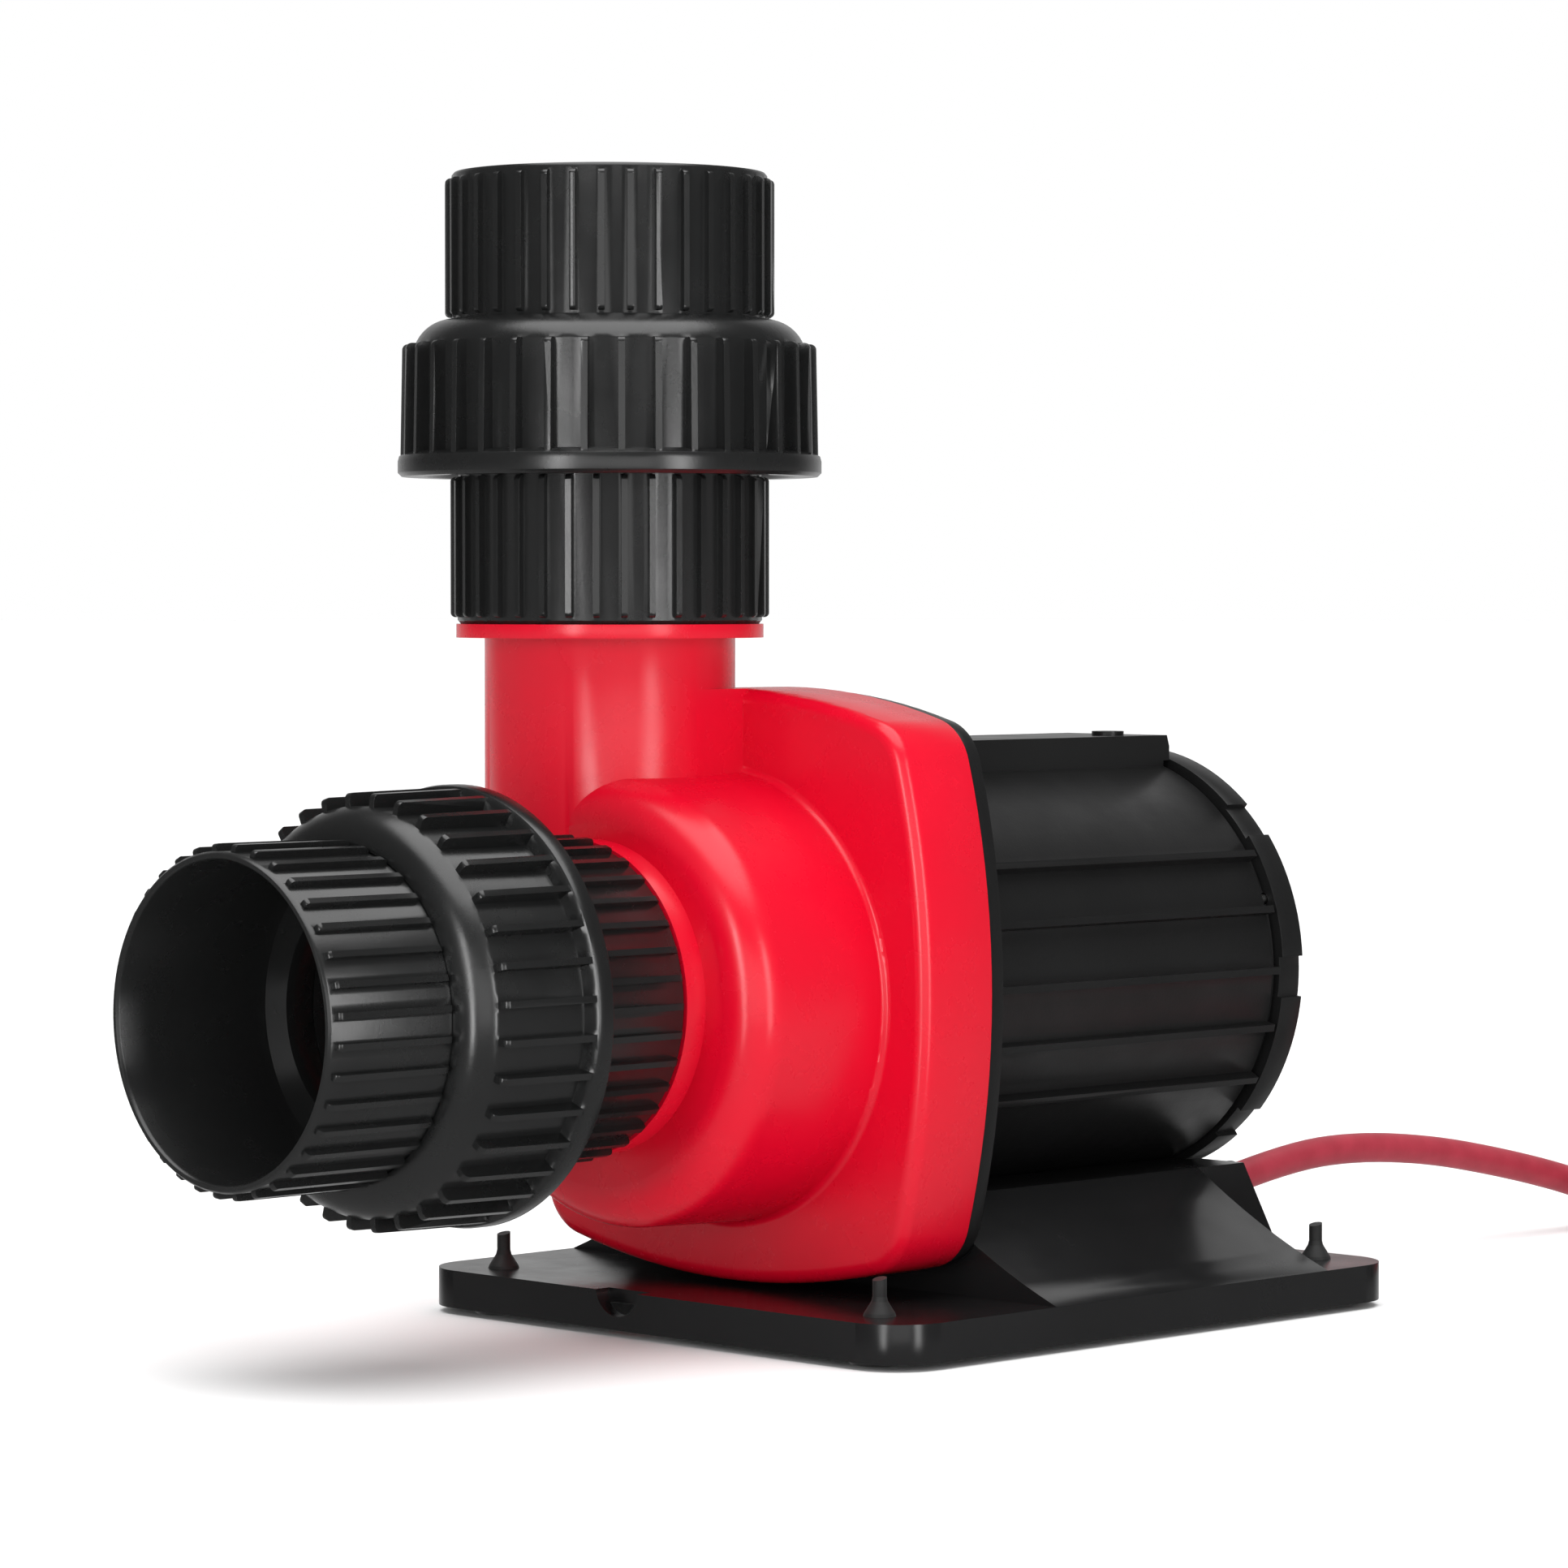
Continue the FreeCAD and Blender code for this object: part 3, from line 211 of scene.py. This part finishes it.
RED = moulding("red_moulding", (0.560, 0.0006, 0.0145), (0.620, 0.0012, 0.0180), (0.24, 0.30), 0.42,
               grain=0.000006, ripple=0.00003)
UNION = moulding("union_black", (0.0080, 0.0082, 0.0082), (0.0105, 0.0108, 0.0108), (0.22, 0.30), 0.60,
                 grain=0.00002)
MOTOR = moulding("motor_black", (0.0070, 0.0070, 0.0071), (0.0095, 0.0095, 0.0097), (0.30, 0.40), 0.36,
                 grain=0.00003)
BASE = moulding("base_black", (0.0070, 0.0070, 0.0072), (0.0095, 0.0095, 0.0098), (0.20, 0.28), 0.36,
                grain=0.000008, ripple=0.00003)
INNER = moulding("inner_polymer", (0.020, 0.020, 0.022), (0.032, 0.032, 0.034), (0.42, 0.55), 0.4)
VANES = moulding("impeller_polymer", (0.50, 0.50, 0.46), (0.60, 0.60, 0.56), (0.38, 0.50), 0.4)
CARBON = moulding("carbon_polymer", (0.010, 0.010, 0.011), (0.020, 0.020, 0.021), (0.34, 0.46), 0.4)
MAGNET = moulding("magnet_epoxy", (0.035, 0.035, 0.040), (0.050, 0.050, 0.055), (0.36, 0.48), 0.5)
CHIPS = moulding("component_bodies", (0.008, 0.008, 0.009), (0.016, 0.016, 0.017), (0.40, 0.55), 0.4)
NYLON = moulding("connector_nylon", (0.008, 0.008, 0.008), (0.014, 0.014, 0.014), (0.36, 0.50), 0.4)
FOOT = rubber("foot_rubber", (0.008, 0.008, 0.008), (0.015, 0.015, 0.015), (0.50, 0.64), 0.35, 0.00006)
SEAL = rubber("seal_rubber", (0.006, 0.006, 0.006), (0.010, 0.010, 0.010), (0.45, 0.60), 0.35, 0.00003)
SHEATH = rubber("cord_sheath", (0.290, 0.018, 0.034), (0.360, 0.027, 0.047), (0.40, 0.50), 0.35, 0.00003)
TIE = rubber("tie_fabric", (0.010, 0.010, 0.011), (0.024, 0.024, 0.026), (0.75, 0.90), 0.25, 0.00015)
STEEL = metal("screw_steel", (0.55, 0.55, 0.54), (0.22, 0.34))
LAMINATE = metal("stator_steel", (0.33, 0.33, 0.34), (0.35, 0.50), (1, 12, 1), 700.0, 0.00006)
CERAMIC = ceramic("ceramic")
COPPER = wound_copper("copper_wire")
BOARD = board_laminate("circuit_board")

NODE_MATERIALS = {
    "volute_casing": RED,
    "inlet_adapter": UNION, "inlet_union_nut": UNION, "inlet_tailpiece": UNION,
    "outlet_adapter": UNION, "outlet_union_nut": UNION, "outlet_tailpiece": UNION,
    "inlet_union_seal": SEAL, "outlet_union_seal": SEAL, "volute_seal": SEAL, "rear_cap_seal": SEAL,
    "shaft_spider": INNER, "rotor_hub": INNER, "rotor_can": INNER,
    "pump_shaft": CERAMIC, "front_thrust_washer": CERAMIC, "rear_thrust_washer": CERAMIC,
    "front_bush": CARBON, "rear_bush": CARBON, "impeller": VANES, "rotor_magnet": MAGNET,
    "motor_housing": MOTOR, "rear_cap": MOTOR, "deck_plug": MOTOR,
    "stator_core": LAMINATE, "stator_windings": COPPER, "driver_board": BOARD, "board_parts": CHIPS,
    "rear_cap_screws": STEEL, "casing_screws": STEEL, "base_screws": STEEL,
    "base_plate": BASE, "rubber_feet": FOOT, "cable_gland": FOOT, "cord_connector": NYLON,
}


def dress_nodes():
    for name, material in NODE_MATERIALS.items():
        mesh = NODES[name].data
        mesh.materials.clear()
        mesh.materials.append(material)


# Nodes whose crisp edges show get a small moulded radius.
SOFT_EDGES = {
    "volute_casing": 0.5, "motor_housing": 0.35, "rear_cap": 0.35, "base_plate": 0.45,
    "inlet_adapter": 0.22, "inlet_union_nut": 0.28, "inlet_tailpiece": 0.22,
    "outlet_adapter": 0.22, "outlet_union_nut": 0.28, "outlet_tailpiece": 0.22,
}


def soften_edges():
    for name, radius in SOFT_EDGES.items():
        node = NODES[name]
        weld = node.modifiers.new("join_corners", "WELD")
        weld.merge_threshold = 0.000002
        edge = node.modifiers.new("moulded_edges", "BEVEL")
        edge.limit_method = "ANGLE"
        edge.angle_limit = math.radians(EDGE_ANGLE)
        edge.width = radius * MM
        edge.segments = 2
        edge.harden_normals = False
        edge.use_clamp_overlap = True


# ---- lead ----
def coil_moves():
    """(when, rings in or out, layers up) for each step of the coil, in turns from its start."""
    moves = []
    when = FIRST_MOVE
    for layer in range(COIL_LAYERS):
        inward = -1 if layer % 2 == 0 else 1
        for ring in range(COIL_RINGS - 1):
            moves.append((when + ring, inward, 0))
        when += COIL_RINGS - 1 - MOVE_TURNS
        if layer < COIL_LAYERS - 1:
            moves.append((when, 0, 1))
            when += 1 - MOVE_TURNS
    return moves


def eased(share):
    share = min(1.0, max(0.0, share))
    return share * share * (3 - 2 * share)


def coil_route():
    """Turns side by side and on each other, a diameter apart, seen from above going clockwise."""
    route = []
    outward = 1 / math.cos(math.pi / POINTS_PER_TURN)
    moves = coil_moves()
    for index in range(int(COIL_TURNS * POINTS_PER_TURN) + 1):
        turns = index / POINTS_PER_TURN
        ring = COIL_RINGS - 1.0
        layer = 0.0
        for when, across, up in moves:
            share = eased((turns - when) / MOVE_TURNS)
            ring += across * share
            layer += up * share
        radius = outward * (COIL_INNER_R + ring * CORD_D / MM)
        angle = math.pi - 2 * math.pi * turns
        route.append((COIL_CENTRE[0] + radius * math.cos(angle), COIL_CENTRE[1] + radius * math.sin(angle),
                      (layer + 0.5) * CORD_D / MM))
    return route


def make_cord():
    route = CORD_ROUTE + coil_route() + TAIL_ROUTE
    curve = bpy.data.curves.new("power_lead", "CURVE")
    curve.dimensions = "3D"
    spline = curve.splines.new("NURBS")
    spline.points.add(len(route) - 1)
    for point, (x, y, z) in zip(spline.points, route):
        point.co = (x * MM, y * MM, z * MM, 1)
    spline.order_u = 3
    spline.use_endpoint_u = True
    spline.resolution_u = 6
    curve.bevel_depth = CORD_D / 2
    curve.bevel_resolution = 7
    curve.use_fill_caps = True
    lead = bpy.data.objects.new("power_lead", curve)
    bpy.context.scene.collection.objects.link(lead)
    curve.materials.append(SHEATH)
    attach(lead, "pump")
    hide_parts("power_cord", "cord_coil", "cord_tail")
    return lead


def coil_tie(name, angle):
    """A hook-and-loop band round the coil's bundle of turns."""
    half_wide = (COIL_RINGS * CORD_D) / 2 + 0.6 * MM
    half_high = (COIL_LAYERS * CORD_D) / 2 + 0.6 * MM
    corner = 3.6 * MM
    middle = COIL_INNER_R * MM + (COIL_RINGS - 1) * CORD_D / 2
    width = 12 * MM
    thick = 1.0 * MM
    outline = []
    corners = ((1, 1, 0), (-1, 1, 90), (-1, -1, 180), (1, -1, 270))
    for sx, sz, first in corners:
        for step in range(7):
            turn = math.radians(first + 15 * step)
            outline.append((sx * (half_wide - corner) + corner * math.cos(turn),
                            sz * (half_high - corner) + corner * math.sin(turn)))
    mesh = bmesh.new()
    rings = []
    for side in (-1, 1):
        for grow in (0.0, thick):
            ring = []
            for x, z in outline:
                out = Vector((x, z)).normalized() * grow
                low = max(half_high + z + out.y, 0.2 * MM)
                ring.append(mesh.verts.new((middle + x + out.x, side * width / 2, low)))
            rings.append(ring)
    inner_a, outer_a, inner_b, outer_b = rings
    count = len(outline)
    for index in range(count):
        after = (index + 1) % count
        for first_ring, second_ring in ((outer_a, outer_b), (inner_b, inner_a), (inner_a, outer_a),
                                        (outer_b, inner_b)):
            mesh.faces.new((first_ring[index], first_ring[after], second_ring[after], second_ring[index]))
    bmesh.ops.recalc_face_normals(mesh, faces=mesh.faces)
    band_mesh = bpy.data.meshes.new(name)
    mesh.to_mesh(band_mesh)
    mesh.free()
    band = bpy.data.objects.new(name, band_mesh)
    bpy.context.scene.collection.objects.link(band)
    centre = Vector((COIL_CENTRE[0] * MM, COIL_CENTRE[1] * MM, 0))
    band_mesh.transform(Matrix.Translation(centre) @ Matrix.Rotation(math.radians(angle), 4, "Z"))
    band_mesh.materials.append(TIE)
    for face in band_mesh.polygons:
        face.use_smooth = True
    rounding = band.modifiers.new("soft_edges", "BEVEL")
    rounding.width = 0.3 * MM
    rounding.segments = 2
    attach(band, "pump")
    return band


# ---- stage ----
def make_floor():
    mesh = bmesh.new()
    bmesh.ops.create_circle(mesh, cap_ends=True, radius=30.0, segments=96)
    floor_mesh = bpy.data.meshes.new("floor")
    mesh.to_mesh(floor_mesh)
    mesh.free()
    floor = bpy.data.objects.new("floor", floor_mesh)
    bpy.context.scene.collection.objects.link(floor)
    material, nodes, links, shader, place = new_material("floor_paint")
    tone = noise(nodes, links, place, 3.0, 2.0)
    links.new(tint(nodes, links, tone, (0.90, 0.90, 0.90), (0.92, 0.92, 0.92)), shader.inputs["Base Color"])
    shader.inputs["Roughness"].default_value = 0.9
    shader.inputs["Specular IOR Level"].default_value = 0.1
    floor_mesh.materials.append(material)
    floor.visible_glossy = False


def softbox(name, azimuth, elevation, distance, size, power):
    """A rectangular light that faces the pump. Its azimuth goes from -Y towards +X, in degrees."""
    light = bpy.data.lights.new(name, "AREA")
    light.shape = "RECTANGLE"
    light.size = size[0]
    light.size_y = size[1]
    light.energy = power
    lamp = bpy.data.objects.new(name, light)
    bpy.context.scene.collection.objects.link(lamp)
    a = math.radians(azimuth)
    e = math.radians(elevation)
    toward = Vector((math.sin(a) * math.cos(e), -math.cos(a) * math.cos(e), math.sin(e)))
    lamp.location = Vector(LIGHTS_AIM) + toward * distance
    lamp.rotation_euler = toward.to_track_quat("Z", "Y").to_euler()
    lamp.visible_camera = False
    return lamp


def light_scene():
    softbox("left_softbox", 19, 6, 1.7, (0.25, 1.2), 11)
    softbox("right_softbox", 84, 6, 1.7, (0.34, 1.2), 9.5)
    softbox("middle_panel", 51, 6, 1.9, (1.3, 0.9), 5)
    softbox("top_softbox", 60, 80, 1.6, (1.8, 1.8), 10)
    sun = bpy.data.lights.new("overhead", "SUN")
    sun.energy = 2.2
    sun.angle = math.radians(70)
    lamp = bpy.data.objects.new("overhead", sun)
    bpy.context.scene.collection.objects.link(lamp)
    lamp.rotation_euler = (math.radians(4), math.radians(5), 0)
    lamp.visible_camera = False
    light_room()
    bpy.context.scene.view_settings.view_transform = "Standard"


def light_room():
    """White paper behind the pump, soft light all round, and a dark room in the mirror of its plastics."""
    world = bpy.data.worlds.new("studio")
    bpy.context.scene.world = world
    world.use_nodes = True
    nodes = world.node_tree.nodes
    links = world.node_tree.links
    ray = nodes.new("ShaderNodeLightPath")
    place = nodes.new("ShaderNodeTexCoord")
    split = nodes.new("ShaderNodeSeparateXYZ")
    links.new(place.outputs["Generated"], split.inputs["Vector"])
    paper = nodes.new("ShaderNodeVectorMath")
    paper.operation = "DOT_PRODUCT"
    paper.inputs[1].default_value = PAPER_SIDE
    links.new(place.outputs["Generated"], paper.inputs[0])
    both = nodes.new("ShaderNodeMath")
    both.operation = "ADD"
    links.new(spread(nodes, links, split.outputs["Z"], MIRROR_LOW, MIRROR_HIGH, -0.20, 0.06), both.inputs[0])
    links.new(spread(nodes, links, paper.outputs["Value"], 0.0, MIRROR_PAPER, 0.60, 0.97), both.inputs[1])
    mirrored = nodes.new("ShaderNodeBackground")
    links.new(both.outputs["Value"], mirrored.inputs["Strength"])
    white = nodes.new("ShaderNodeBackground")
    white.inputs["Strength"].default_value = 1.0
    soft = nodes["Background"]
    soft.inputs["Strength"].default_value = SOFT_FILL
    for background in (mirrored, white, soft):
        background.inputs["Color"].default_value = (1, 1, 1, 1)
    unseen = nodes.new("ShaderNodeMixShader")
    links.new(ray.outputs["Is Glossy Ray"], unseen.inputs["Fac"])
    links.new(soft.outputs["Background"], unseen.inputs[1])
    links.new(mirrored.outputs["Background"], unseen.inputs[2])
    seen = nodes.new("ShaderNodeMixShader")
    links.new(ray.outputs["Is Camera Ray"], seen.inputs["Fac"])
    links.new(unseen.outputs["Shader"], seen.inputs[1])
    links.new(white.outputs["Background"], seen.inputs[2])
    links.new(seen.outputs["Shader"], nodes["World Output"].inputs["Surface"])


def make_camera():
    camera = bpy.data.cameras.new("camera")
    camera.lens = CAMERA_LENS
    camera.sensor_width = 36.0
    camera.clip_start = 0.01
    camera.clip_end = 100.0
    eye = bpy.data.objects.new("camera", camera)
    bpy.context.scene.collection.objects.link(eye)
    eye.location = CAMERA_AT
    eye.rotation_euler = (math.radians(CAMERA_TILT), 0, math.radians(CAMERA_TURN))
    bpy.context.scene.camera = eye


make_camera()
dress_nodes()
soften_edges()
lead = make_cord()
ties = [coil_tie("coil_tie_front", -60), coil_tie("coil_tie_back", 120)]
make_floor()
light_scene()
